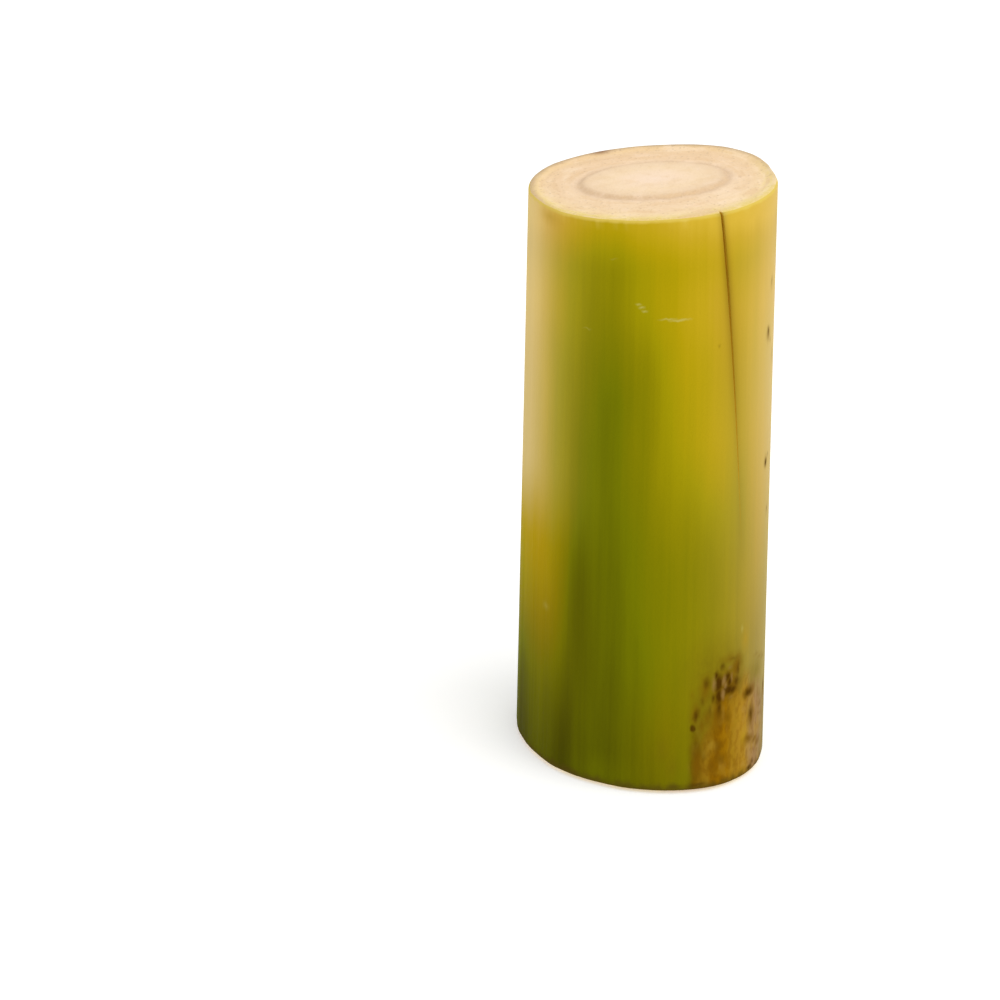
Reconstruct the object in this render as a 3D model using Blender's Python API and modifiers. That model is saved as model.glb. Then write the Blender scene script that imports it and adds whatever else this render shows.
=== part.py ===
"""A cut length of banana stem that stands on its lower cut end.

It is one grown piece. The outside is a smooth skin with faint lengthwise flutes. Both
cut ends show the fibrous outer flesh round an oval core, with a sunken ring between
them. The upper cut slants, and a drying split runs down the skin from its edge.

Run it with: blender --background --python part.py
"""

import math

import bmesh
import bpy

NAME = "banana_stem"

# Driving dimensions, in metres
STEM_DIAMETER = 0.070  # mean, halfway up
STEM_HEIGHT = 0.163  # at the middle of the upper cut
CORE_WIDTH = 0.0412  # the long way, on the cut ends
CORE_DEPTH = 0.0328  # the short way
TOP_EDGE = 0.0012  # rounding of the knife's edge
FOOT_EDGE = 0.0024  # the lower edge is worn rounder
RING_DEPTH = 0.0008
RING_WIDTH = 0.0022
FLESH_SINK = 0.0005  # the outer flesh dries back below the skin's rim and the core
RIM_WIDTH = 0.0032  # the band beside the skin that stays level with the core
SPLIT_LENGTH = 0.099
SPLIT_DEPTH = 0.0012  # at the upper edge; it runs out to nothing
SPLIT_WIDTH = 0.0008
BRUISE_SINK = 0.0004

# How the stem departs from a straight round bar, as shares of its radius or as slopes
OVAL = (0.089, -59.5)  # long axis towards the front right: share, degrees
THREE_SIDED = (0.016, 48.6)
FOUR_CORNERED = (0.018, 43.6)
TAPER = -0.039  # narrower upwards
LEAN = (0.0105, 0.0020)  # metres sideways for each metre up
TOP_SLOPE = (0.105, -0.016)  # the upper cut rises to the right
CORE_OFFSET = (0.0, 0.0025)  # the core lies towards the back
CORE_TURN = -20.0  # degrees; its long way points a little to the front on the right

# The flutes: lobes round the stem, depth in metres, turn in radians over the whole height
FLUTES = ((9, 0.00008, 0.5), (17, 0.00009, -0.7), (26, 0.00007, 0.4))

# The split, in degrees from +X: where it starts at the top, and how far it wanders
SPLIT_TOP_ANGLE = -64.5
SPLIT_WANDER = 14.5
SPLIT_BEND = 0.87  # under 1, it wanders most near the top
SPLIT_FADE = 1.4  # over 1, it closes fastest near the top
SPLIT_STEPS = 14

# The bruised patch low on the front right: middle in degrees and metres, and its reach
BRUISE_ANGLE = -53.0
BRUISE_HEIGHT = 0.018
BRUISE_REACH = (19.0, 0.019)

# Mesh density
COLUMNS = 108
SIDE_ROWS = 16
EDGE_STEPS = 4

RADIUS = STEM_DIAMETER / 2
CORE_RADIUS = (CORE_WIDTH + CORE_DEPTH) / 4
SKIN, FLESH, RING, CORE = range(4)


def clear_scene():
    for old in list(bpy.data.objects):
        bpy.data.objects.remove(old, do_unlink=True)


def plain_material(name, colour, roughness):
    material = bpy.data.materials.new(name)
    material.use_nodes = True
    shader = material.node_tree.nodes["Principled BSDF"]
    shader.inputs["Base Color"].default_value = (*colour, 1.0)
    shader.inputs["Roughness"].default_value = roughness
    shader.inputs["Metallic"].default_value = 0.0
    return material


def face_profile(edge):
    """(radius, sink) of a cut end, from its middle out to where its rounded edge starts."""
    half_ring = RING_WIDTH / 2
    flesh_start = CORE_RADIUS + half_ring
    flesh_end = RADIUS - edge - RIM_WIDTH
    points = [(CORE_RADIUS * share, 0.0) for share in (0.0, 0.3, 0.62)]
    points += [(CORE_RADIUS - half_ring, 0.0)]
    points += [(CORE_RADIUS, RING_DEPTH)]
    points += [(flesh_start, FLESH_SINK)]
    points += [((flesh_start + flesh_end) / 2, FLESH_SINK)]
    points += [(flesh_end, FLESH_SINK)]
    points += [(flesh_end + RIM_WIDTH / 2, 0.0)]
    return points


def edge_arc(edge):
    """(radius, sink) along the rounded edge between a cut end and the side."""
    turns = [math.pi / 2 * step / EDGE_STEPS for step in range(EDGE_STEPS + 1)]
    return [(RADIUS - edge * (1 - math.sin(a)), edge * (1 - math.cos(a))) for a in turns]


def blank_profile():
    """Half the outline of a straight round stem: out over the top, down, and back."""
    top = face_profile(TOP_EDGE) + edge_arc(TOP_EDGE)
    foot = face_profile(FOOT_EDGE) + edge_arc(FOOT_EDGE)
    side_top = STEM_HEIGHT - TOP_EDGE
    side_span = side_top - FOOT_EDGE
    points = [(radius, STEM_HEIGHT - sink) for radius, sink in top]
    points += [(RADIUS, side_top - side_span * row / SIDE_ROWS) for row in range(1, SIDE_ROWS)]
    points += foot[::-1]
    return points


def turned_blank():
    """The straight round stem as a mesh, turned from its profile."""
    points = blank_profile()
    outline = bpy.data.meshes.new("profile")
    edges = [(i, i + 1) for i in range(len(points) - 1)]
    outline.from_pydata([(radius, 0.0, z) for radius, z in points], edges, [])
    turned = bpy.data.objects.new("profile", outline)
    bpy.context.scene.collection.objects.link(turned)
    screw = turned.modifiers.new("turn", "SCREW")
    screw.axis = "Z"
    screw.angle = 2 * math.pi
    screw.steps = COLUMNS
    screw.render_steps = COLUMNS
    screw.use_merge_vertices = True
    screw.merge_threshold = 0.00001
    bpy.context.view_layer.update()
    evaluated = turned.evaluated_get(bpy.context.evaluated_depsgraph_get())
    mesh = bpy.data.meshes.new_from_object(evaluated)
    bpy.data.objects.remove(turned)
    return mesh


def face_kind(centre):
    """Which part of the stem's surface a face of the blank belongs to."""
    radius = math.hypot(centre.x, centre.y)
    on_top = centre.z > STEM_HEIGHT - RING_DEPTH and radius < RADIUS - TOP_EDGE / 2
    on_foot = centre.z < RING_DEPTH and radius < RADIUS - FOOT_EDGE / 2
    if not (on_top or on_foot):
        return SKIN
    if abs(radius - CORE_RADIUS) < RING_WIDTH / 2:
        return RING
    return CORE if radius < CORE_RADIUS else FLESH


def lobe(count, angle, towards_degrees):
    return math.cos(count * (angle - math.radians(towards_degrees)))


def bruise_sink(angle, z):
    """The dried patch has shrunk a little, most in its middle."""
    across = (math.degrees(angle) - BRUISE_ANGLE) / BRUISE_REACH[0]
    along = (z - BRUISE_HEIGHT) / BRUISE_REACH[1]
    return BRUISE_SINK * max(0.0, 1.0 - across**2 - along**2)


def skin_radius(angle, z):
    """Distance of the skin from the stem's own middle line."""
    up = z / STEM_HEIGHT
    shape = 1.0 + OVAL[0] * lobe(2, angle, OVAL[1])
    shape += THREE_SIDED[0] * lobe(3, angle, THREE_SIDED[1])
    shape += FOUR_CORNERED[0] * lobe(4, angle, FOUR_CORNERED[1])
    radius = RADIUS * shape * (1.0 + TAPER * (up - 0.5))
    for count, depth, turn in FLUTES:
        radius += depth * math.cos(count * angle + turn * up + count)
    return radius - bruise_sink(angle, z)


def core_edge(angle):
    """Where the edge of the oval core lies, in plan."""
    turn = math.radians(CORE_TURN)
    long_way = CORE_WIDTH / 2 * math.cos(angle - turn)
    short_way = CORE_DEPTH / 2 * math.sin(angle - turn)
    x = CORE_OFFSET[0] + long_way * math.cos(turn) - short_way * math.sin(turn)
    y = CORE_OFFSET[1] + long_way * math.sin(turn) + short_way * math.cos(turn)
    return x, y


def grown(radius, angle, z):
    """Where a point of the straight round blank lies on the real stem."""
    core_x, core_y = core_edge(angle)
    if radius <= CORE_RADIUS:
        share = radius / CORE_RADIUS
        x = CORE_OFFSET[0] + (core_x - CORE_OFFSET[0]) * share
        y = CORE_OFFSET[1] + (core_y - CORE_OFFSET[1]) * share
    else:
        share = (radius - CORE_RADIUS) / (RADIUS - CORE_RADIUS)
        outer = skin_radius(angle, z)
        x = core_x + (outer * math.cos(angle) - core_x) * share
        y = core_y + (outer * math.sin(angle) - core_y) * share
    z *= 1.0 + (TOP_SLOPE[0] * x + TOP_SLOPE[1] * y) / STEM_HEIGHT
    return x + LEAN[0] * z, y + LEAN[1] * z, z


def split_cutter():
    """A wedge that follows the split. Its sharp edge rises out of the skin at the foot."""
    reach_out = 0.001
    slope = SPLIT_WIDTH / 2 / SPLIT_DEPTH
    wedge = bmesh.new()
    sections = []
    for step in range(-1, SPLIT_STEPS + 1):
        share = step / SPLIT_STEPS
        below = max(share, 0.0)
        z = STEM_HEIGHT - SPLIT_LENGTH * share
        angle = math.radians(SPLIT_TOP_ANGLE + SPLIT_WANDER * below**SPLIT_BEND)
        depth = SPLIT_DEPTH * (1.0 - below) ** SPLIT_FADE - reach_out / 12 * below
        half = slope * (depth + reach_out) / RADIUS
        outside = RADIUS + reach_out
        corners = ((RADIUS - depth, angle), (outside, angle + half), (outside, angle - half))
        sections.append([wedge.verts.new(grown(radius, turn, z)) for radius, turn in corners])
    for upper, lower in zip(sections, sections[1:]):
        for i in range(3):
            j = (i + 1) % 3
            wedge.faces.new((upper[i], upper[j], lower[j], lower[i]))
    wedge.faces.new(sections[0][::-1])
    wedge.faces.new(sections[-1])
    bmesh.ops.recalc_face_normals(wedge, faces=wedge.faces)
    mesh = bpy.data.meshes.new("split_cutter")
    wedge.to_mesh(mesh)
    wedge.free()
    cutter = bpy.data.objects.new("split_cutter", mesh)
    cutter.hide_render = True
    cutter.display_type = "WIRE"
    return cutter


def shift(mesh, x, y):
    for vertex in mesh.vertices:
        vertex.co.x += x
        vertex.co.y += y


def banana_stem():
    """The stem with its origin in the middle of its outline, on the resting face."""
    mesh = turned_blank()
    mesh.name = NAME
    mesh.materials.clear()
    mesh.materials.append(plain_material("green_skin", (0.28, 0.26, 0.02), 0.42))
    mesh.materials.append(plain_material("outer_flesh", (0.86, 0.66, 0.42), 0.75))
    mesh.materials.append(plain_material("brown_ring", (0.50, 0.28, 0.15), 0.8))
    mesh.materials.append(plain_material("pale_core", (0.88, 0.72, 0.47), 0.7))
    for face in mesh.polygons:
        face.material_index = face_kind(face.center)
    for vertex in mesh.vertices:
        x, y, z = vertex.co
        vertex.co = grown(math.hypot(x, y), math.atan2(y, x), z)
    xs = [vertex.co.x for vertex in mesh.vertices]
    ys = [vertex.co.y for vertex in mesh.vertices]
    middle_x = (min(xs) + max(xs)) / 2
    middle_y = (min(ys) + max(ys)) / 2
    mesh.shade_smooth()
    mesh.set_sharp_from_angle(angle=math.radians(60))
    cutter = split_cutter()
    shift(mesh, -middle_x, -middle_y)
    shift(cutter.data, -middle_x, -middle_y)
    stem = bpy.data.objects.new(NAME, mesh)
    cut = stem.modifiers.new("drying split", "BOOLEAN")
    cut.operation = "DIFFERENCE"
    cut.solver = "EXACT"
    cut.object = cutter
    return stem, cutter


def main():
    clear_scene()
    stem, cutter = banana_stem()
    parts = bpy.data.collections.new("banana stem")
    cutters = bpy.data.collections.new("cutters")
    parts.objects.link(stem)
    cutters.objects.link(cutter)
    for collection in (parts, cutters):
        bpy.context.scene.collection.children.link(collection)


main()
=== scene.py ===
"""The looks of a cut length of banana stem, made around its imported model.

Lengths are in metres and angles in degrees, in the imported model's own frame: the stem
stands on z = 0, and the front, with the drying split, faces -Y.
"""

import math

import bpy
import numpy as np
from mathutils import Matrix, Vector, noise


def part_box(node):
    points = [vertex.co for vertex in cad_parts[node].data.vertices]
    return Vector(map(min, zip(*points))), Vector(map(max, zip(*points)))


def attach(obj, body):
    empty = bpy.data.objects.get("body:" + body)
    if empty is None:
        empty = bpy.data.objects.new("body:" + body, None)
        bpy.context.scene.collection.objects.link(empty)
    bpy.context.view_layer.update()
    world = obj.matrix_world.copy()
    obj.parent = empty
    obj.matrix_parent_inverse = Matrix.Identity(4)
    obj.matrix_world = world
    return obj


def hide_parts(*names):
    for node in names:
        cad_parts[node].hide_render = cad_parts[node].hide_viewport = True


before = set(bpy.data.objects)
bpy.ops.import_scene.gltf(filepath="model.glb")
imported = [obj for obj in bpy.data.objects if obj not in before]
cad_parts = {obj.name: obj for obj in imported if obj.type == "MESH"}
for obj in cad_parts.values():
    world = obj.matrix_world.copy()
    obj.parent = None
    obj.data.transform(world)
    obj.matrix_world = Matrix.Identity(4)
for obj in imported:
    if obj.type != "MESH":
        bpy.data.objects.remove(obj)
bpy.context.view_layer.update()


# Camera. A long lens looks slightly down on the stem from about 1.2 m away, from a
# little to the left of it.
CAMERA_PLACE = (-0.0391, -1.0838, 0.5049)
CAMERA_TILT = 21.79  # below level
LENS = 153.1  # millimetres, on a 36 mm wide sensor

camera = bpy.data.objects.new("camera", bpy.data.cameras.new("camera"))
camera.data.lens = LENS
camera.data.sensor_width = 36.0
camera.location = CAMERA_PLACE
camera.rotation_euler = (math.radians(90 - CAMERA_TILT), 0.0, 0.0)
bpy.context.scene.collection.objects.link(camera)
bpy.context.scene.camera = camera


# Stem. One grown length of stalk, cut across at both ends with a knife. Its section is a
# blunt oval, its waxy skin has faint lengthwise flutes and fibres, and a split opened
# down the front as it dried.
STEM_DIAMETER = 0.070
STEM_HEIGHT = 0.163
CORE_WIDTH = 0.0412
CORE_DEPTH = 0.0328
CORE_OFFSET = (0.0, 0.0025)
CORE_TURN = -20.0
TOP_EDGE = 0.0012
FOOT_EDGE = 0.0024
RING_DEPTH = 0.0007
RING_WIDTH = 0.0022
FLESH_SINK = 0.0005
RIM_WIDTH = 0.0032
OVAL = (0.089, -59.5)
THREE_SIDED = (0.016, 48.6)
FOUR_CORNERED = (0.018, 43.6)
TAPER = -0.039
LEAN = (0.0105, 0.0020)
TOP_SLOPE = (0.105, -0.016)
FLUTES = ((9, 0.00008, 0.5), (17, 0.00004, -0.7), (26, 0.00002, 0.4))
FIBRE_HEIGHT = 0.00005
SPLIT_TOP_ANGLE = -64.5
SPLIT_WANDER = 14.5
SPLIT_BEND = 0.87
SPLIT_FADE = 1.4
SPLIT_LENGTH = 0.099
SPLIT_DEPTH = 0.0012
SPLIT_WIDTH = 0.0008
LIP_HEIGHT = 0.00008
LIP_WIDTH = 0.0006
LIP_PLACE = 1.6  # from the middle of the split, in halves of its width
BRUISE_ANGLE = -53.0
BRUISE_HEIGHT = 0.018
BRUISE_REACH = (19.0, 0.019)
BRUISE_SINK = 0.0004
PUCKER_HEIGHT = 0.00020
KNIFE_HEIGHT = 0.00008
CUT_FIBRE_HEIGHT = 0.00005
COLUMNS = 440
RIM_ROWS = 7
DENSE_BELOW = 0.042  # the rows stand closer below this height, for the bruise
RADIUS = STEM_DIAMETER / 2
CORE_RADIUS = (CORE_WIDTH + CORE_DEPTH) / 4


def smooth(low, high, value):
    """0 at low, 1 at high and soft in between. It falls where low is above high."""
    share = np.clip((value - low) / (high - low), 0.0, 1.0)
    return share * share * (3 - 2 * share)


def bell(value, width):
    """1 at zero, and dying away on both sides of it."""
    return np.exp(-((value / width) ** 2))


def wrapped(degrees):
    """The same direction, between -180 and 180."""
    return (degrees + 180) % 360 - 180


def rough(x, y, z, size, seed=0.0):
    """Soft natural noise between about -1 and 1, with bumps of the given size."""
    points = np.stack((x / size[0] + seed, y / size[1], z / size[2]), -1).reshape(-1, 3)
    values = [noise.noise(point) for point in points.tolist()]
    return np.array(values).reshape(x.shape)


def steps(start, end, count):
    """Even steps from start up to, but without, end."""
    return list(np.linspace(start, end, count, endpoint=False))


def cut_rows(edge, core_rows, ring_rows, flesh_rows):
    """Distances from the middle of a cut end out to where its rounded edge starts."""
    ring_start = CORE_RADIUS - RING_WIDTH
    ring_end = CORE_RADIUS + RING_WIDTH
    rim_start = RADIUS - edge - RIM_WIDTH
    rows = steps(0.0, ring_start, core_rows)[1:]
    rows += steps(ring_start, ring_end, ring_rows)
    rows += steps(ring_end, rim_start, flesh_rows)
    rows += steps(rim_start, RADIUS - edge, RIM_ROWS)
    return rows


def edge_rows(edge, count):
    """The rounded edge: each row's distance from the middle, and how far it has sunk."""
    turns = np.linspace(0.0, math.pi / 2, count)
    return [(RADIUS - edge * (1 - math.sin(a)), edge * (1 - math.cos(a))) for a in turns]


top_cut = cut_rows(TOP_EDGE, core_rows=16, ring_rows=10, flesh_rows=26)
top_edge = edge_rows(TOP_EDGE, count=8)
foot_cut = cut_rows(FOOT_EDGE, core_rows=9, ring_rows=7, flesh_rows=14)
foot_edge = edge_rows(FOOT_EDGE, count=9)
rows = [(radius, STEM_HEIGHT) for radius in top_cut]
rows += [(radius, STEM_HEIGHT - sink) for radius, sink in top_edge]
first_side = len(rows) - 5
rows += [(RADIUS, z) for z in steps(STEM_HEIGHT - TOP_EDGE, DENSE_BELOW, 56)[1:]]
rows += [(RADIUS, z) for z in steps(DENSE_BELOW, FOOT_EDGE, 50)]
last_side = len(rows) + 4
rows += foot_edge[::-1]
rows += [(radius, 0.0) for radius in foot_cut[::-1]]

# The columns crowd at the split, and follow it as it wanders down the skin.
turn = np.linspace(-180.0, 180.0, 20001)
crowding = np.cumsum(1 + 5 * bell(turn, 1.6) + 1.3 * bell(turn, 16.0))
crowding = (crowding - crowding[0]) / (crowding[-1] - crowding[0])
column = np.interp(np.linspace(0, 1, COLUMNS, endpoint=False), crowding, turn)
blank_radius = np.array([radius for radius, z in rows])[:, None] + 0 * column
blank_z = np.array([z for radius, z in rows])[:, None] + 0 * column
split_share = np.clip((STEM_HEIGHT - blank_z) / SPLIT_LENGTH, 0.0, 1.0)
split_drift = SPLIT_WANDER * split_share**SPLIT_BEND
angle = SPLIT_TOP_ANGLE + column + split_drift * bell(column, 50.0)
turned = np.radians(angle)
guide_x = RADIUS * np.cos(turned)
guide_y = RADIUS * np.sin(turned)


def lobe(count, towards):
    """A wave round the section, with one of its count crests towards the given angle."""
    return np.cos(count * np.radians(angle - towards))


# The skin's distance from the stem's middle line, with its relief.
up = blank_z / STEM_HEIGHT
section = 1 + OVAL[0] * lobe(2, OVAL[1])
section += THREE_SIDED[0] * lobe(3, THREE_SIDED[1])
section += FOUR_CORNERED[0] * lobe(4, FOUR_CORNERED[1])
skin_radius = RADIUS * section * (1 + TAPER * (up - 0.5))
for count, depth, twist in FLUTES:
    skin_radius += depth * np.cos(count * turned + twist * up + count)
fibres = rough(guide_x, guide_y, blank_z, (0.0014, 0.0014, 0.045))
fibres += 0.6 * rough(guide_x, guide_y, blank_z, (0.0031, 0.0031, 0.09), 7.0)
skin_radius += FIBRE_HEIGHT * fibres
across_split = column * math.radians(1) * RADIUS
split_fade = (1 - split_share) ** SPLIT_FADE
split_half = SPLIT_WIDTH / 2 * (0.25 + 0.75 * split_fade)
split_edge = rough(blank_z, 0 * blank_z, 0 * blank_z, (0.0022, 1.0, 1.0), 3.0)
crack = np.clip(1 - np.abs(across_split) / (split_half * (1 + 0.35 * split_edge)), 0.0, 1.0)
skin_radius -= SPLIT_DEPTH * split_fade * crack
lips = bell(np.abs(across_split) - split_half * LIP_PLACE, LIP_WIDTH)
skin_radius += LIP_HEIGHT * lips * split_fade
bruise_across = wrapped(angle - BRUISE_ANGLE) / BRUISE_REACH[0]
bruise_along = (blank_z - BRUISE_HEIGHT) / BRUISE_REACH[1]
bruise_body = np.clip(1 - bruise_across**2 - bruise_along**2, 0.0, 1.0)
puckers = rough(guide_x, guide_y, blank_z, (0.0018, 0.0018, 0.007), 5.0)
skin_radius -= bruise_body * (BRUISE_SINK + PUCKER_HEIGHT * puckers)

# From the straight round blank to the grown stem, as the model does it.
core_turn = math.radians(CORE_TURN)
long_way = CORE_WIDTH / 2 * np.cos(turned - core_turn)
short_way = CORE_DEPTH / 2 * np.sin(turned - core_turn)
core_x = CORE_OFFSET[0] + long_way * math.cos(core_turn) - short_way * math.sin(core_turn)
core_y = CORE_OFFSET[1] + long_way * math.sin(core_turn) + short_way * math.cos(core_turn)
core_share = np.minimum(blank_radius / CORE_RADIUS, 1.0)
flesh_share = np.clip((blank_radius - CORE_RADIUS) / (RADIUS - CORE_RADIUS), 0.0, 1.0)
outward = core_share + flesh_share  # 0 in the middle, 1 at the core's edge, 2 at the skin
x = CORE_OFFSET[0] + (core_x - CORE_OFFSET[0]) * core_share
x += (skin_radius * np.cos(turned) - core_x) * flesh_share
y = CORE_OFFSET[1] + (core_y - CORE_OFFSET[1]) * core_share
y += (skin_radius * np.sin(turned) - core_y) * flesh_share

# The cut ends: a sunken ring, dried-back flesh, cut fibres and a knife's faint waves.
rim_start = RADIUS - TOP_EDGE - RIM_WIDTH
is_top = blank_z > STEM_HEIGHT - TOP_EDGE / 2
is_foot = blank_z < TOP_EDGE / 2
ring_wave = rough(guide_x, guide_y, 0 * x, (0.006, 0.006, 1.0), 2.0)
ring = bell(blank_radius - CORE_RADIUS - 0.0003 * ring_wave, RING_WIDTH / 2.4)
flesh_body = smooth(CORE_RADIUS, CORE_RADIUS + 0.0015, blank_radius)
flesh_body *= 1 - smooth(rim_start, rim_start + RIM_WIDTH * 0.7, blank_radius)
cut_fibres = rough(x, y, 0 * x, (0.0011, 0.0011, 1.0), 11.0)
knife = rough(x, y, 0 * x, (0.030, 0.0035, 1.0), 13.0)
sink = RING_DEPTH * ring + FLESH_SINK * flesh_body * (1 + 0.25 * cut_fibres)
sink += KNIFE_HEIGHT * (1 + knife) + CUT_FIBRE_HEIGHT * np.abs(cut_fibres)
sink *= 1 - smooth(RADIUS - 0.0025, RADIUS - TOP_EDGE, blank_radius)
z = blank_z - np.where(is_top, sink, 0.0) + np.where(is_foot, sink, 0.0)
z *= 1 + (TOP_SLOPE[0] * x + TOP_SLOPE[1] * y) / STEM_HEIGHT
x += LEAN[0] * z
y += LEAN[1] * z
low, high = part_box("banana_stem")
x += (low[0] + high[0]) / 2 - (x.min() + x.max()) / 2
y += (low[1] + high[1]) / 2 - (y.min() + y.max()) / 2

# One closed mesh: rings of points from the middle of the top cut to that of the lower.
ring_count = len(rows)
grid = np.stack((x, y, z), -1)
top_middle = grid[0].mean(0)
foot_middle = grid[-1].mean(0)
points = np.vstack((top_middle, grid.reshape(-1, 3), foot_middle))
number = 1 + np.arange(ring_count * COLUMNS).reshape(ring_count, COLUMNS)


def at_corners(values, closing=0.0):
    """A grid's values at the corners of its quads; closing is added past the seam."""
    values = np.broadcast_to(values, (ring_count, COLUMNS))
    wide = np.concatenate((values, values[:, :1] + closing), axis=1)
    return np.stack((wide[:-1, :-1], wide[1:, :-1], wide[1:, 1:], wide[:-1, 1:]), -1)


following = np.roll(number, -1, axis=1)
quads = np.stack((number[:-1], number[1:], following[1:], following[:-1]), -1)
top_fan = [(0, int(a), int(b)) for a, b in zip(number[0], following[0])]
foot_fan = [(len(points) - 1, int(b), int(a)) for a, b in zip(number[-1], following[-1])]
stem_mesh = bpy.data.meshes.new("stem")
stem_mesh.from_pydata(points.tolist(), [], quads.reshape(-1, 4).tolist() + top_fan + foot_fan)
quad_ring = np.arange(ring_count - 1)
on_cut = np.repeat((quad_ring < first_side) | (quad_ring >= last_side), COLUMNS)
on_cut = np.concatenate((on_cut, np.ones(2 * COLUMNS, dtype=bool)))
stem_mesh.polygons.foreach_set("material_index", on_cut.astype(np.int32))
stem_mesh.shade_smooth()

# Bake layout: the skin unrolled above, the two cut ends below it.
SHEET_LEFT, SHEET_WIDTH = 0.010, 0.930
SHEET_TOP, SHEET_HEIGHT = 0.992, 0.672
TOP_DISC, FOOT_DISC = (0.170, 0.157), (0.500, 0.157)
around = (angle - SPLIT_TOP_ANGLE) / 360
path = np.hypot(np.diff(blank_radius[:, 0]), np.diff(blank_z[:, 0]))
path = np.concatenate(([0.0], np.cumsum(path)))[:, None]
path = (path - path[first_side]) / (path[last_side] - path[first_side])
disc_scale = SHEET_WIDTH / (2 * math.pi * RADIUS)
upper = np.arange(ring_count)[:, None] < (first_side + last_side) / 2
disc_u = disc_scale * x + np.where(upper, TOP_DISC[0], FOOT_DISC[0])
disc_v = disc_scale * y + np.where(upper, TOP_DISC[1], FOOT_DISC[1])
unroll_u = SHEET_LEFT + SHEET_WIDTH * (around + 0.5)
unroll_v = SHEET_TOP - SHEET_HEIGHT * path
cut_quads = on_cut[: quads.shape[0] * COLUMNS].reshape(-1, COLUMNS, 1)
quad_u = np.where(cut_quads, at_corners(disc_u), at_corners(unroll_u, SHEET_WIDTH))
quad_v = np.where(cut_quads, at_corners(disc_v), at_corners(unroll_v))


def fan_layout(fan, disc, middle, ring):
    """Places the triangles round the middle of a cut end."""
    middle_place = np.array(disc) + disc_scale * middle[:2]
    around_it = np.stack((disc_u[ring], disc_v[ring]), -1)
    first = number[ring, 0]
    return [middle_place if i == 0 else around_it[point - first]
            for triangle in fan for i, point in enumerate(triangle)]


layout = np.vstack((
    np.stack((quad_u, quad_v), -1).reshape(-1, 2),
    fan_layout(top_fan, TOP_DISC, top_middle, 0),
    fan_layout(foot_fan, FOOT_DISC, foot_middle, -1),
))
bake_layer = stem_mesh.uv_layers.new(name="OFBake")
bake_layer.data.foreach_set("uv", layout.astype(np.float32).ravel())

# The unrolled skin at its real size, for placing single marks: round from the split's
# upper end, and up.
unrolled = np.zeros((len(layout), 3))
unrolled[:quads.size, 0] = at_corners(around, 1.0).ravel() * 2 * math.pi * RADIUS
unrolled[:quads.size, 1] = at_corners(blank_z).ravel()
place_layer = stem_mesh.attributes.new("unrolled", "FLOAT_VECTOR", "CORNER")
place_layer.data.foreach_set("vector", unrolled.ravel())


def mark(name, values, middle=0.0):
    """Keeps a value for every point of the stem, for its finishes to read."""
    whole = np.concatenate(([middle], np.broadcast_to(values, x.shape).ravel(), [middle]))
    stem_mesh.attributes.new(name, "FLOAT", "POINT").data.foreach_set("value", whole)


def band(middle, width):
    """A soft stripe down the whole skin, at an angle from +X."""
    return bell(wrapped(angle - middle), width)


# Ripeness runs from deep green, 0, to straw gold, 1. The stem is greenest low down and
# along two broad bands, and turns yellow near the upper cut.
GREEN_BANDS = ((-112.0, 31.0, 1.0), (82.0, 44.0, 0.85))
height = blank_z
greenest = 0.175 + 0.150 * height / 0.110 + 0.12 * smooth(0.108, 0.155, height)
greenest += 0.30 * smooth(0.147, 0.165, height)
rise = 1 + 0 * angle
for middle, width, strength in GREEN_BANDS:
    rise -= strength * band(middle, width)
left_side = smooth(0.12, -0.12, np.sin(turned + math.radians(112)))
right_span = 0.20 + 0.30 * np.clip(height / 0.1, 0.0, 1.0)
left_span = 0.56 * smooth(0.0, 0.085, height)
span = right_span + (left_span - right_span) * left_side
span *= 1 - 0.5 * smooth(0.132, 0.165, height)
streak = band(-132 + 5 * smooth(0.0, 0.06, height), 8.0)
streak *= 0.065 + 0.065 * (1 - smooth(0.0, 0.045, height))
streak *= 1 - smooth(0.055, 0.085, height)
streak += 0.10 * band(-125, 6.0) * bell(height - 0.058, 0.022)
flank_and_painted_shadow = 0.11 * band(-72, 20.0) * bell(height - 0.066, 0.026)
upper_half = smooth(0.050, 0.075, height) * smooth(0.160, 0.145, height)
flank_and_painted_shadow += 0.065 * band(-51, 9.0) * upper_half
flank_and_painted_shadow += 0.055 * band(-148, 14.0) * smooth(0.112, 0.128, height)
# Painted shadow: darker low on the far left, where a shadow falls on the skin.
flank_and_painted_shadow += 0.100 * band(-174, 14.0) * smooth(0.045, 0.020, height)
# Warmer tone high in front and low on the left; low on the left it is partly a painted warm
# reflection.
warm_and_painted_light = 0.08 * band(-98, 14.0) * bell(height - 0.141, 0.016)
warm_and_painted_light += 0.05 * band(-150, 10.0) * bell(height - 0.048, 0.020)
# Painted light: lighter at the very foot in front, where the table lights it.
warm_and_painted_light += 0.06 * band(-108, 14.0) * smooth(0.012, 0.004, height)
mark("ripe", greenest + span * np.clip(rise, 0.0, 1.0) - streak - flank_and_painted_shadow + warm_and_painted_light)

# Painted reflection: a pale sheen, as of the white room seen at a grazing angle, is
# painted into the colour on both yellow sides, and left off low on the left.
waves = rough(guide_x, guide_y, blank_z, (0.0040, 0.0040, 0.030), 23.0)
bloom = 0.40 * band(180, 28.0) * smooth(0.064, 0.090, height + 0.003 * waves)
bloom += 0.42 * band(-18, 26.0) * (0.45 + 0.55 * bell(height - 0.110, 0.045))
mark("bloom", bloom)
# Low on the left the gold is partly the stem's own tone and partly a painted warm reflection.
gold = band(-150, 26.0) * bell(height - 0.045, 0.034)
gold += 0.6 * band(-150, 22.0) * smooth(0.145, 0.160, height)
gold += band(-38, 22.0) * (1 - 0.75 * smooth(0.045, 0.130, height))
gold += 0.9 * band(-84, 16.0) * smooth(0.045, 0.012, height)
mark("gold", gold)
mark("split_line", smooth(0.0, 0.6, crack) * smooth(0.066, 0.095, height))
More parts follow.
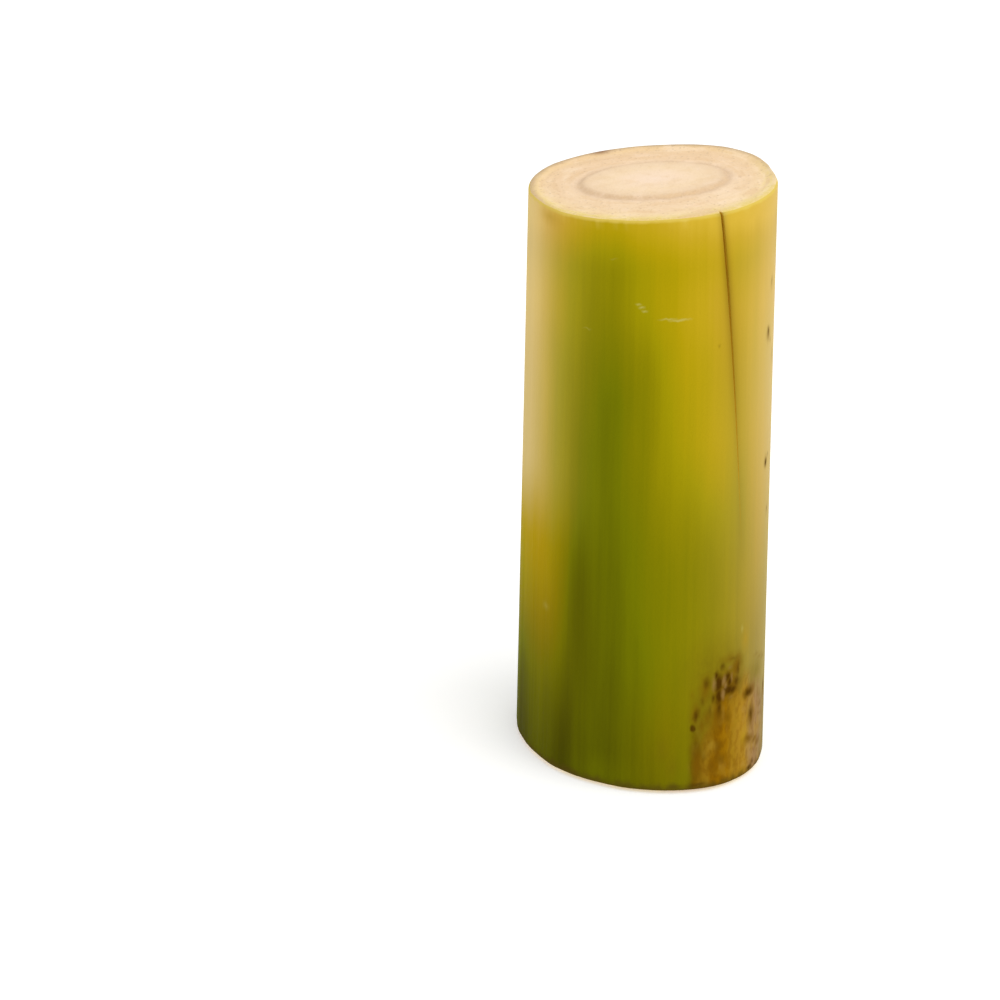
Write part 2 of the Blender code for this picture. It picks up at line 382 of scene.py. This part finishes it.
# The skin each side of the split is darkened: partly browning, partly painted shade of the groove.
shade_strength = np.interp(height, (0.060, 0.084, 0.105, 0.132, 0.148, 0.163),
                           (0.00, 0.10, 0.16, 0.25, 0.42, 0.30))
shade = shade_strength * bell(across_split, 0.00115)
shade += 0.18 * bell(across_split, 0.0042) * bell(height - 0.128, 0.022)
mark("split_shade", shade)
fray = rough(guide_x, guide_y, blank_z, (0.0016, 0.0016, 0.0040), 17.0)
bruise_edge = np.interp(angle, (-72, -66, -61, -52, -44, -28, -14),
                        (0.0195, 0.0200, 0.0265, 0.0305, 0.0295, 0.0240, 0.0190))
bruise = smooth(-74.0, -69.4, angle + 1.6 * fray)
bruise *= 1 - smooth(-38.0, -10.0, angle + 4.0 * fray)
bruise_blur = 0.0050 + 0.0040 * smooth(-60.0, -67.0, angle)
bruise *= 1 - smooth(-bruise_blur, bruise_blur, height - bruise_edge + 0.0035 * fray)
mark("bruise", bruise)
# Darker round the foot: partly browning, partly painted contact shadow.
mark("foot", 1 - smooth(0.0012, 0.0036, height + 0.0012 * fray))
mark("rim", smooth(STEM_HEIGHT - 0.0013, STEM_HEIGHT - 0.0004, height + 0.0003 * fray))
mark("reach", outward)
mark("back", smooth(-0.020, 0.028, y), 0.4)

# A place that runs out from the middle along x and round it along y and z, for arcs.
arc_place = (0.012 * outward, 0.005 * np.cos(turned), 0.005 * np.sin(turned))
arc_place = np.stack(arc_place, -1).reshape(-1, 3)
arc_place = np.vstack((np.zeros(3), arc_place, np.zeros(3)))
arc_layer = stem_mesh.attributes.new("arcs", "FLOAT_VECTOR", "POINT")
arc_layer.data.foreach_set("vector", arc_place.ravel())
mark("brown_fleck", band(112, 4.5) * smooth(1.74, 1.90, outward))


class Value:
    """A number that varies over the surface. Sums on it add Math nodes."""

    def __init__(self, finish, socket):
        self.finish = finish
        self.socket = socket

    def math(self, operation, *terms):
        return self.finish.node("ShaderNodeMath", {"operation": operation}, dict(enumerate(terms)))

    def __add__(self, other):
        return self.math("ADD", self, other)

    def __radd__(self, other):
        return self.math("ADD", other, self)

    def __sub__(self, other):
        return self.math("SUBTRACT", self, other)

    def __rsub__(self, other):
        return self.math("SUBTRACT", other, self)

    def __mul__(self, other):
        return self.math("MULTIPLY", self, other)

    def __rmul__(self, other):
        return self.math("MULTIPLY", other, self)

    def between(self, low, high):
        """0 below low, 1 above high, and soft in between."""
        settings = {"interpolation_type": "SMOOTHSTEP"}
        inputs = {"Value": self, "From Min": low, "From Max": high}
        return self.finish.node("ShaderNodeMapRange", settings, inputs)


class Finish:
    """A material whose nodes are made one call at a time."""

    def __init__(self, name):
        self.material = bpy.data.materials.new(name)
        self.material.use_nodes = True
        self.tree = self.material.node_tree
        self.shader = self.tree.nodes["Principled BSDF"]

    def node(self, kind, settings, inputs, output=0):
        """One node: its settings first, then its inputs. Gives the wanted output."""
        node = self.tree.nodes.new(kind)
        for name, setting in settings.items():
            if name == "stops":
                self.set_stops(node.color_ramp, setting)
            else:
                setattr(node, name, setting)
        for key, given in inputs.items():
            self.feed(node.inputs[key], given)
        return Value(self, node.outputs[output])

    def set_stops(self, ramp, stops):
        while len(ramp.elements) < len(stops):
            ramp.elements.new(0.5)
        for element, (place, colour) in zip(ramp.elements, stops):
            element.position = place
            element.color = (*colour, 1.0)

    def feed(self, socket, given):
        if isinstance(given, Value):
            self.tree.links.new(given.socket, socket)
        elif socket.type == "RGBA":
            socket.default_value = (*given, 1.0)
        else:
            socket.default_value = given

    def field(self, name, output="Fac"):
        return self.node("ShaderNodeAttribute", {"attribute_name": name}, {}, output)

    def vector(self, operation, *terms, output="Vector"):
        settings = {"operation": operation}
        return self.node("ShaderNodeVectorMath", settings, dict(enumerate(terms)), output)

    def place(self, stretch):
        """The place on the stem, squeezed along each axis by the given factors."""
        return self.vector("MULTIPLY", self.node("ShaderNodeTexCoord", {}, {}, "Object"), stretch)

    def noise(self, place, size, detail=2.0, output="Fac"):
        inputs = {"Vector": place, "Scale": 1 / size, "Detail": detail}
        return self.node("ShaderNodeTexNoise", {}, inputs, output)

    def speckle(self, stretch, size, detail=2.0, output="Fac"):
        return self.noise(self.place(stretch), size, detail, output)

    def cells(self, stretch, size):
        """Distance from the nearest of many scattered points, in shares of their spacing."""
        inputs = {"Vector": self.place(stretch), "Scale": 1 / size}
        return self.node("ShaderNodeTexVoronoi", {}, inputs, "Distance")

    def colours(self, value, stops):
        return self.node("ShaderNodeValToRGB", {"stops": stops}, {"Fac": value})

    def mixed(self, share, first, second, way="MIX"):
        settings = {"data_type": "RGBA", "blend_type": way}
        return self.node("ShaderNodeMix", settings, {0: share, 6: first, 7: second}, 2)

    def bump(self, height, distance, under=None):
        inputs = {"Height": height, "Distance": distance, "Strength": 1.0}
        if under is not None:
            inputs["Normal"] = under
        return self.node("ShaderNodeBump", {}, inputs, "Normal")

    def spots(self, place, marks):
        """How strongly a mark shows. Each has an angle and a height for its middle, half
        its width, half its length, and its strength. Angles run from -244.5 to 115.5,
        half a turn to each side of the split, and a mark is cut off where they end."""
        strongest = 0.0
        for angle, height, wide, long, strength in marks:
            arc = math.radians(angle - SPLIT_TOP_ANGLE) * RADIUS
            middle = (-arc / wide, -height / long, 0.0)
            offset = self.vector("MULTIPLY_ADD", place, (1 / wide, 1 / long, 0.0), middle)
            apart = self.vector("LENGTH", offset, output="Value")
            here = apart.math("MULTIPLY_ADD", apart, -strength, strength)
            strongest = here.math("MAXIMUM", here, strongest)
        return strongest


# Skin finish: waxy green tissue over fine lengthwise fibres. It is darkened at the split
# and round the foot, partly browning and partly painted shade, dried to ochre with
# near-black streaks in the bruise, and scratched.
DARK_MARKS = (
    (-61.2, 0.0335, 0.0011, 0.0020, 0.80),
    (-60.2, 0.0312, 0.0016, 0.0042, 1.10),
    (-59.9, 0.0272, 0.0014, 0.0042, 1.00),
    (-59.7, 0.0238, 0.0011, 0.0040, 0.65),
    (-56.2, 0.0324, 0.0014, 0.0022, 0.95),
    (-55.0, 0.0307, 0.0012, 0.0023, 0.85),
    (-55.2, 0.0285, 0.0024, 0.0025, 1.05),
    (-53.0, 0.0281, 0.0026, 0.0020, 0.90),
    (-51.0, 0.0300, 0.0018, 0.0027, 0.75),
    (-50.6, 0.0335, 0.0011, 0.0034, 0.55),
    (-53.4, 0.0374, 0.0026, 0.0010, 0.30),
    (-58.8, 0.0357, 0.0012, 0.0019, 0.55),
    (-65.4, 0.0320, 0.0015, 0.0028, 0.65),
    (-62.4, 0.0270, 0.0013, 0.0025, 0.60),
    (-42.9, 0.0251, 0.0028, 0.0022, 0.85),
    (-40.4, 0.0182, 0.0015, 0.0036, 0.60),
    (-69.6, 0.0229, 0.0012, 0.0030, 0.75),
    (-67.0, 0.0268, 0.0009, 0.0024, 0.45),
    (-63.6, 0.0236, 0.0009, 0.0030, 0.45),
    (-71.0, 0.0191, 0.0011, 0.0016, 1.20),
    (-41.2, 0.0026, 0.0022, 0.0014, 0.90),
    (-38.8, 0.0036, 0.0018, 0.0012, 0.60),
    (-68.2, 0.0024, 0.0031, 0.0009, 0.60),
    (-77.0, 0.0025, 0.0042, 0.0009, 0.35),
    (-30.4, 0.1384, 0.0008, 0.0020, 0.45),
    (-33.8, 0.1250, 0.0010, 0.0020, 0.65),
    (-30.8, 0.1221, 0.0006, 0.0012, 0.50),
    (-32.8, 0.0883, 0.0012, 0.0020, 0.80),
    (-29.6, 0.0901, 0.0006, 0.0014, 0.60),
    (-28.6, 0.0742, 0.0008, 0.0016, 0.50),
    (-24.5, 0.0652, 0.0006, 0.0012, 0.40),
    (-63.9, 0.1270, 0.0006, 0.0010, 0.40),
    (-25.0, 0.0225, 0.0009, 0.0020, 0.80),
    (-19.5, 0.0150, 0.0008, 0.0026, 0.70),
    (12.0, 0.1120, 0.0006, 0.0016, 0.60),
    (24.0, 0.0480, 0.0008, 0.0022, 0.70),
    (26.0, 0.0430, 0.0006, 0.0012, 0.60),
    (58.0, 0.1420, 0.0005, 0.0011, 0.50),
    (66.0, 0.0790, 0.0007, 0.0020, 0.60),
    (77.0, 0.0205, 0.0008, 0.0026, 0.60),
    (92.0, 0.1290, 0.0006, 0.0012, 0.50),
    (104.0, 0.0270, 0.0007, 0.0024, 0.60),
    (112.0, 0.0640, 0.0008, 0.0018, 0.65),
)
BROWN_MARKS = (
    (-55.4, 0.0300, 0.0074, 0.0080, 1.15),
    (-51.4, 0.0345, 0.0032, 0.0058, 1.10),
    (-55.0, 0.0375, 0.0052, 0.0028, 0.60),
    (-60.6, 0.0290, 0.0030, 0.0090, 0.80),
    (-59.6, 0.0215, 0.0022, 0.0082, 1.00),
    (-55.4, 0.0205, 0.0020, 0.0044, 0.90),
    (-59.4, 0.0128, 0.0024, 0.0032, 0.90),
    (-58.4, 0.0088, 0.0032, 0.0026, 0.90),
    (-61.8, 0.0064, 0.0020, 0.0024, 0.60),
    (-64.4, 0.0215, 0.0024, 0.0044, 0.70),
    (-65.8, 0.0305, 0.0028, 0.0066, 0.80),
    (-67.0, 0.0195, 0.0018, 0.0040, 0.60),
    (-64.6, 0.0165, 0.0020, 0.0034, 0.55),
    (-71.4, 0.0290, 0.0012, 0.0036, 0.40),
    (-68.6, 0.0080, 0.0021, 0.0074, 1.10),
    (-70.0, 0.0235, 0.0020, 0.0052, 0.70),
    (-42.8, 0.0252, 0.0040, 0.0032, 1.20),
    (-40.4, 0.0176, 0.0026, 0.0060, 1.00),
    (-42.0, 0.0112, 0.0042, 0.0026, 0.95),
    (-37.4, 0.0096, 0.0032, 0.0018, 0.80),
    (-33.6, 0.0082, 0.0034, 0.0018, 0.75),
    (-37.2, 0.0346, 0.0030, 0.0011, 0.40),
    (-33.2, 0.0333, 0.0032, 0.0011, 0.45),
    (-29.2, 0.0320, 0.0032, 0.0011, 0.45),
    (-32.0, 0.0190, 0.0034, 0.0014, 0.50),
    (-25.0, 0.0215, 0.0022, 0.0050, 0.70),
    (-19.0, 0.0156, 0.0020, 0.0044, 0.55),
    (-22.0, 0.0060, 0.0030, 0.0022, 0.55),
    (-30.6, 0.1376, 0.0022, 0.0036, 0.40),
    (-33.6, 0.1243, 0.0024, 0.0034, 0.65),
    (-26.4, 0.1170, 0.0022, 0.0038, 0.40),
    (-32.4, 0.0886, 0.0024, 0.0034, 0.55),
    (-28.8, 0.0742, 0.0020, 0.0028, 0.40),
    (118.0, 0.0090, 0.0060, 0.0110, 0.60),
    (77.0, 0.0190, 0.0022, 0.0070, 0.60),
    (88.0, 0.0070, 0.0060, 0.0060, 0.50),
    (104.0, 0.0260, 0.0022, 0.0070, 0.50),
    (112.5, 0.0630, 0.0020, 0.0040, 0.55),
    (9.0, 0.0060, 0.0050, 0.0080, 0.50),
)
HAZE_MARKS = (
    (-62.0, 0.0355, 0.0125, 0.0160, 0.85),
    (-66.0, 0.0255, 0.0056, 0.0150, 1.20),
    (-53.0, 0.0350, 0.0060, 0.0080, 0.80),
    (-37.5, 0.0300, 0.0075, 0.0060, 0.75),
    (-83.0, 0.0130, 0.0036, 0.0070, 0.55),
    (-79.0, 0.0080, 0.0030, 0.0060, 0.55),
)
OCHRE_MARKS = (
    (-46.6, 0.0415, 0.0022, 0.0060, 0.60),
    (-153.0, 0.1602, 0.0105, 0.0036, 0.60),
    (-48.8, 0.0187, 0.0024, 0.0038, 0.50),
    (-45.8, 0.0127, 0.0024, 0.0046, 1.00),
    (-46.4, 0.0031, 0.0026, 0.0018, 0.60),
    (-59.4, 0.0048, 0.0035, 0.0016, 0.40),
    (-51.4, 0.0108, 0.0030, 0.0035, 0.35),
    (70.0, 0.1480, 0.0060, 0.0060, 0.40),
)
PEELED_MARKS = (
    (-62.4, 0.0312, 0.0010, 0.0032, 0.80),
    (-57.8, 0.0316, 0.0009, 0.0024, 1.00),
    (-56.9, 0.0300, 0.0008, 0.0020, 0.90),
    (-57.9, 0.0274, 0.0009, 0.0026, 1.00),
    (-53.8, 0.0318, 0.0007, 0.0020, 0.70),
    (-55.0, 0.0350, 0.0013, 0.0013, 0.50),
    (-53.8, 0.0260, 0.0014, 0.0011, 0.40),
)
PALE_MARKS = (
    (-97.6, 0.1403, 0.0014, 0.00055, 0.8),
    (-96.1, 0.1394, 0.0013, 0.00060, 0.9),
    (-94.7, 0.1384, 0.0013, 0.00055, 0.8),
    (-85.0, 0.1358, 0.0034, 0.00050, 0.8),
    (-80.4, 0.1354, 0.0038, 0.00060, 1.0),
    (-123.0, 0.1320, 0.0024, 0.00035, 0.4),
    (-109.8, 0.1523, 0.0018, 0.00035, 0.35),
    (-148.0, 0.0480, 0.0030, 0.00220, 0.4),
    (-48.8, 0.0448, 0.0008, 0.0020, 0.5),
    (48.0, 0.1240, 0.0045, 0.00045, 0.8),
    (98.0, 0.0520, 0.0030, 0.00040, 0.6),
)
skin = Finish("stem_skin")
fine_fibre = skin.speckle((1.0, 1.0, 0.02), 0.0011, 3.0)
broad_fibre = skin.speckle((1.0, 1.0, 0.05), 0.0040, 2.0)
blotch = skin.speckle((1.0, 1.0, 0.30), 0.0160, 2.0)
pores = skin.speckle((1.0, 1.0, 0.45), 0.0005, 1.0)
ripeness = skin.field("ripe") + (fine_fibre - 0.5) * 0.06 + (broad_fibre - 0.5) * 0.09
ripeness = ripeness + (blotch - 0.5) * 0.16
skin_colour = skin.colours(ripeness, (
    (0.000, (0.045, 0.040, 0.0003)),
    (0.125, (0.080, 0.080, 0.0003)),
    (0.250, (0.122, 0.129, 0.0003)),
    (0.331, (0.158, 0.166, 0.0004)),
    (0.413, (0.193, 0.181, 0.0005)),
    (0.500, (0.240, 0.208, 0.0008)),
    (0.625, (0.319, 0.265, 0.0012)),
    (0.750, (0.414, 0.302, 0.0020)),
    (0.844, (0.482, 0.333, 0.0070)),
    (0.906, (0.521, 0.348, 0.0140)),
    (1.000, (0.606, 0.406, 0.0320)),
))
GOLD_TINT = (1.02, 0.84, 0.55)
PAINTED_SHEEN_COLOUR = (0.84, 0.68, 0.44)
RIM_YELLOW = (0.68, 0.51, 0.100)
skin_colour = skin.mixed(skin.field("gold"), skin_colour, GOLD_TINT, "MULTIPLY")
# Painted reflection: the pale sheen on both sides.
skin_colour = skin.mixed(skin.field("bloom"), skin_colour, PAINTED_SHEEN_COLOUR)
skin_colour = skin.mixed(skin.field("rim") * 0.8, skin_colour, RIM_YELLOW)

# Where the unrolled skin is looked up, stirred a little so that no mark has a clean edge.
STIR = (0.0010, 0.0018, 0.0)
HALF_STIR = (0.0005, 0.0009, 0.0)
BRUISE_START = 0.005  # round the skin, to the left of the split's upper end
BRUISE_SPAN = 0.030
stir = skin.speckle((1.0, 1.0, 0.6), 0.0020, 2.0, "Color")
unrolled_place = skin.field("unrolled", "Vector")
marks_place = skin.vector("MULTIPLY_ADD", stir, STIR, unrolled_place)
marks_place = skin.vector("SUBTRACT", marks_place, HALF_STIR)
arc = skin.node("ShaderNodeSeparateXYZ", {}, {0: marks_place}, "X")
patches = skin.speckle((1.0, 1.0, 0.45), 0.0034, 2.0)
along_bruise = (arc + (patches - 0.5) * 0.008 + BRUISE_START) * (1 / BRUISE_SPAN)
# Toward its right end the bruise turns greyer: partly its own colour, partly a painted pale
# reflection near the side seen edge-on from the front.
bruise_colour = skin.colours(along_bruise, (
    (0.03, (0.130, 0.076, 0.0018)),
    (0.09, (0.160, 0.090, 0.0020)),
    (0.16, (0.260, 0.142, 0.0060)),
    (0.26, (0.215, 0.098, 0.0010)),
    (0.33, (0.275, 0.130, 0.0010)),
    (0.42, (0.305, 0.168, 0.0080)),
    (0.54, (0.360, 0.196, 0.0150)),
    (0.62, (0.360, 0.215, 0.0450)),
    (0.72, (0.325, 0.190, 0.0750)),
    (0.88, (0.315, 0.203, 0.0850)),
))
flecks = skin.speckle((1.0, 1.0, 0.6), 0.0016, 3.0)
fleck_share = flecks.between(0.42, 0.66) * 0.7
bruise_colour = skin.mixed(fleck_share, bruise_colour, (0.74, 0.66, 0.5), "MULTIPLY")
patch_share = (1 - patches).between(0.50, 0.72) * 0.28
bruise_colour = skin.mixed(patch_share, bruise_colour, (0.43, 0.27, 0.030))
skin_colour = skin.mixed(skin.field("bruise"), skin_colour, bruise_colour)

# The single marks, from the softest to the sharpest, then the split and the foot.
HAZE = (0.160, 0.112, 0.0030)
OCHRE = (0.400, 0.240, 0.0120)
BROWN = (0.165, 0.078, 0.0016)
NEAR_BLACK = (0.066, 0.027, 0.0010)
PEELED = (0.260, 0.150, 0.0450)
PALE_SCRATCH = (0.52, 0.47, 0.13)
SPLIT_SHADE = (0.100, 0.030, 0.0010)
SPLIT_FLESH = (0.500, 0.280, 0.0140)
FOOT_BROWN_AND_SHADE = (0.080, 0.052, 0.0060)
haze_share = skin.spots(marks_place, HAZE_MARKS).between(0.0, 1.0)
haze_share = haze_share * (0.30 + flecks * 0.65)
skin_colour = skin.mixed(haze_share, skin_colour, HAZE)
ochre_share = skin.spots(marks_place, OCHRE_MARKS).between(0.0, 1.0) * 0.8
skin_colour = skin.mixed(ochre_share, skin_colour, OCHRE)
brown_share = skin.spots(marks_place, BROWN_MARKS).between(0.0, 1.0) * 0.85
skin_colour = skin.mixed(brown_share, skin_colour, BROWN)
dark_share = skin.spots(marks_place, DARK_MARKS).between(0.0, 0.85)
dark_share = dark_share * (0.35 + fine_fibre * 1.1)
skin_colour = skin.mixed(dark_share, skin_colour, NEAR_BLACK)
peeled_share = skin.spots(marks_place, PEELED_MARKS).between(0.0, 1.0) * 0.8
skin_colour = skin.mixed(peeled_share, skin_colour, PEELED)
pale_share = skin.spots(marks_place, PALE_MARKS).between(0.0, 1.1) * 0.65
skin_colour = skin.mixed(pale_share, skin_colour, PALE_SCRATCH)
# The split's darkening, partly painted shade of the groove.
skin_colour = skin.mixed(skin.field("split_shade"), skin_colour, SPLIT_SHADE)
skin_colour = skin.mixed(skin.field("split_line"), skin_colour, SPLIT_FLESH)
# The foot's darkening, partly browning and partly painted contact shadow.
foot_shade_share = skin.field("foot") * (0.45 + broad_fibre * 0.5)
skin_colour = skin.mixed(foot_shade_share, skin_colour, FOOT_BROWN_AND_SHADE)
skin.feed(skin.shader.inputs["Base Color"], skin_colour)
dryness = dark_share * 0.25 + skin.field("bruise") * 0.15 + skin.field("foot") * 0.2
skin.feed(skin.shader.inputs["Roughness"], 0.60 + (fine_fibre - 0.5) * 0.12 + dryness)
skin.shader.inputs["Specular IOR Level"].default_value = 0.01
skin_bump = skin.bump(fine_fibre, 0.00010)
skin_bump = skin.bump(pores - dark_share * 2.0, 0.00003, skin_bump)
skin.feed(skin.shader.inputs["Normal"], skin_bump)

# Cut finish: moist pale core, brown ring, peach flesh full of cut fibre bundles, and a
# yellow band just inside the skin.
cut = Finish("cut_flesh")
wander = cut.speckle((1.0, 1.0, 0.0), 0.0040, 3.0)
grain = cut.speckle((1.0, 1.0, 0.0), 0.0007, 2.0)
reach = cut.field("reach") + (wander - 0.5) * 0.10
flesh_colour = cut.colours(reach * 0.5, (
    (0.00, (0.87, 0.67, 0.500)),
    (0.16, (0.86, 0.65, 0.450)),
    (0.30, (0.84, 0.63, 0.400)),
    (0.43, (0.79, 0.58, 0.370)),
    (0.480, (0.66, 0.46, 0.275)),
    (0.505, (0.67, 0.47, 0.290)),
    (0.550, (0.79, 0.575, 0.370)),
    (0.61, (0.84, 0.625, 0.400)),
    (0.72, (0.82, 0.600, 0.370)),
    (0.84, (0.83, 0.620, 0.345)),
    (0.88, (0.83, 0.630, 0.285)),
    (0.94, (0.81, 0.620, 0.220)),
    (1.00, (0.70, 0.53, 0.120)),
))
in_flesh = reach.between(1.06, 1.22)
tan_share = in_flesh * cut.field("back") * 0.75
flesh_colour = cut.mixed(tan_share, flesh_colour, (0.78, 0.535, 0.310))
mottle = cut.speckle((1.0, 1.0, 0.0), 0.0050, 2.0)
tan_mottle = mottle.between(0.48, 0.68) * 0.35
flesh_colour = cut.mixed(tan_mottle, flesh_colour, (0.76, 0.530, 0.290))
pale_mottle = (1 - mottle).between(0.52, 0.72) * 0.35
flesh_colour = cut.mixed(pale_mottle, flesh_colour, (0.90, 0.690, 0.500))
streaks = cut.noise(cut.field("arcs", "Vector"), 0.0022, 3.0)
tan_streaks = streaks.between(0.50, 0.64) * in_flesh * 0.6
flesh_colour = cut.mixed(tan_streaks, flesh_colour, (0.74, 0.500, 0.270))
pale_streaks = (1 - streaks).between(0.54, 0.70) * in_flesh * 0.5
flesh_colour = cut.mixed(pale_streaks, flesh_colour, (0.90, 0.700, 0.480))
bundle_dots = 1 - cut.cells((1.0, 1.0, 0.0), 0.0013).between(0.12, 0.30)
dot_share = bundle_dots * (in_flesh * (1 - reach.between(1.86, 1.98)) * 0.40 + 0.06)
flesh_colour = cut.mixed(dot_share * grain.between(0.35, 0.6), flesh_colour, (0.42, 0.27, 0.15))
flesh_colour = cut.mixed((grain - 0.5) * 0.5 + 0.06, flesh_colour, (0.95, 0.78, 0.58))
rim_line = reach.between(1.80, 1.96) * (cut.field("back") * 0.80 + 0.03)
flesh_colour = cut.mixed(rim_line, flesh_colour, (0.40, 0.27, 0.14))
flesh_colour = cut.mixed(cut.field("brown_fleck") * 0.85, flesh_colour, (0.26, 0.12, 0.05))
cut.feed(cut.shader.inputs["Base Color"], flesh_colour)
cut.feed(cut.shader.inputs["Roughness"], 0.55 + (grain - 0.5) * 0.3)
cut.shader.inputs["Specular IOR Level"].default_value = 0.2
cut.feed(cut.shader.inputs["Normal"], cut.bump(bundle_dots * 0.6 + grain, 0.00012))

stem_mesh.materials.append(skin.material)
stem_mesh.materials.append(cut.material)
stem = bpy.data.objects.new("stem", stem_mesh)
bpy.context.scene.collection.objects.link(stem)
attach(stem, "root")
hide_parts("banana_stem")


# Floor. A plain white studio table, wide enough to fill every view. It glows a little,
# as a table lit from below does, so that it stays white round the stem.
FLOOR_HALF = 6.0

floor_mesh = bpy.data.meshes.new("floor")
floor_corners = [(-FLOOR_HALF, -FLOOR_HALF, 0), (FLOOR_HALF, -FLOOR_HALF, 0)]
floor_corners += [(FLOOR_HALF, FLOOR_HALF, 0), (-FLOOR_HALF, FLOOR_HALF, 0)]
floor_mesh.from_pydata(floor_corners, [], [(0, 1, 2, 3)])
floor = bpy.data.objects.new("floor", floor_mesh)
white = Finish("white_table")
white.shader.inputs["Base Color"].default_value = (0.92, 0.92, 0.92, 1.0)
white.shader.inputs["Roughness"].default_value = 0.9
white.shader.inputs["Specular IOR Level"].default_value = 0.0
white.shader.inputs["Emission Color"].default_value = (1.0, 1.0, 1.0, 1.0)
white.shader.inputs["Emission Strength"].default_value = 0.24
floor_mesh.materials.append(white.material)
bpy.context.scene.collection.objects.link(floor)


# Light. An even white room with a large soft lamp high on the right.
room = bpy.data.worlds.new("room")
room.use_nodes = True
room.node_tree.nodes["Background"].inputs["Color"].default_value = (1.0, 1.0, 1.0, 1.0)
room.node_tree.nodes["Background"].inputs["Strength"].default_value = 0.83
bpy.context.scene.world = room
bpy.context.scene.view_settings.view_transform = "Standard"

lamp = bpy.data.lights.new("high_lamp", "AREA")
lamp.shape = "DISK"
lamp.size = 1.4
lamp.energy = 12.0
lamp_fitting = bpy.data.objects.new("high_lamp", lamp)
lamp_fitting.location = (0.6, -0.5, 1.6)
lamp_fitting.rotation_euler = (math.radians(25), math.radians(22), 0.0)
bpy.context.scene.collection.objects.link(lamp_fitting)
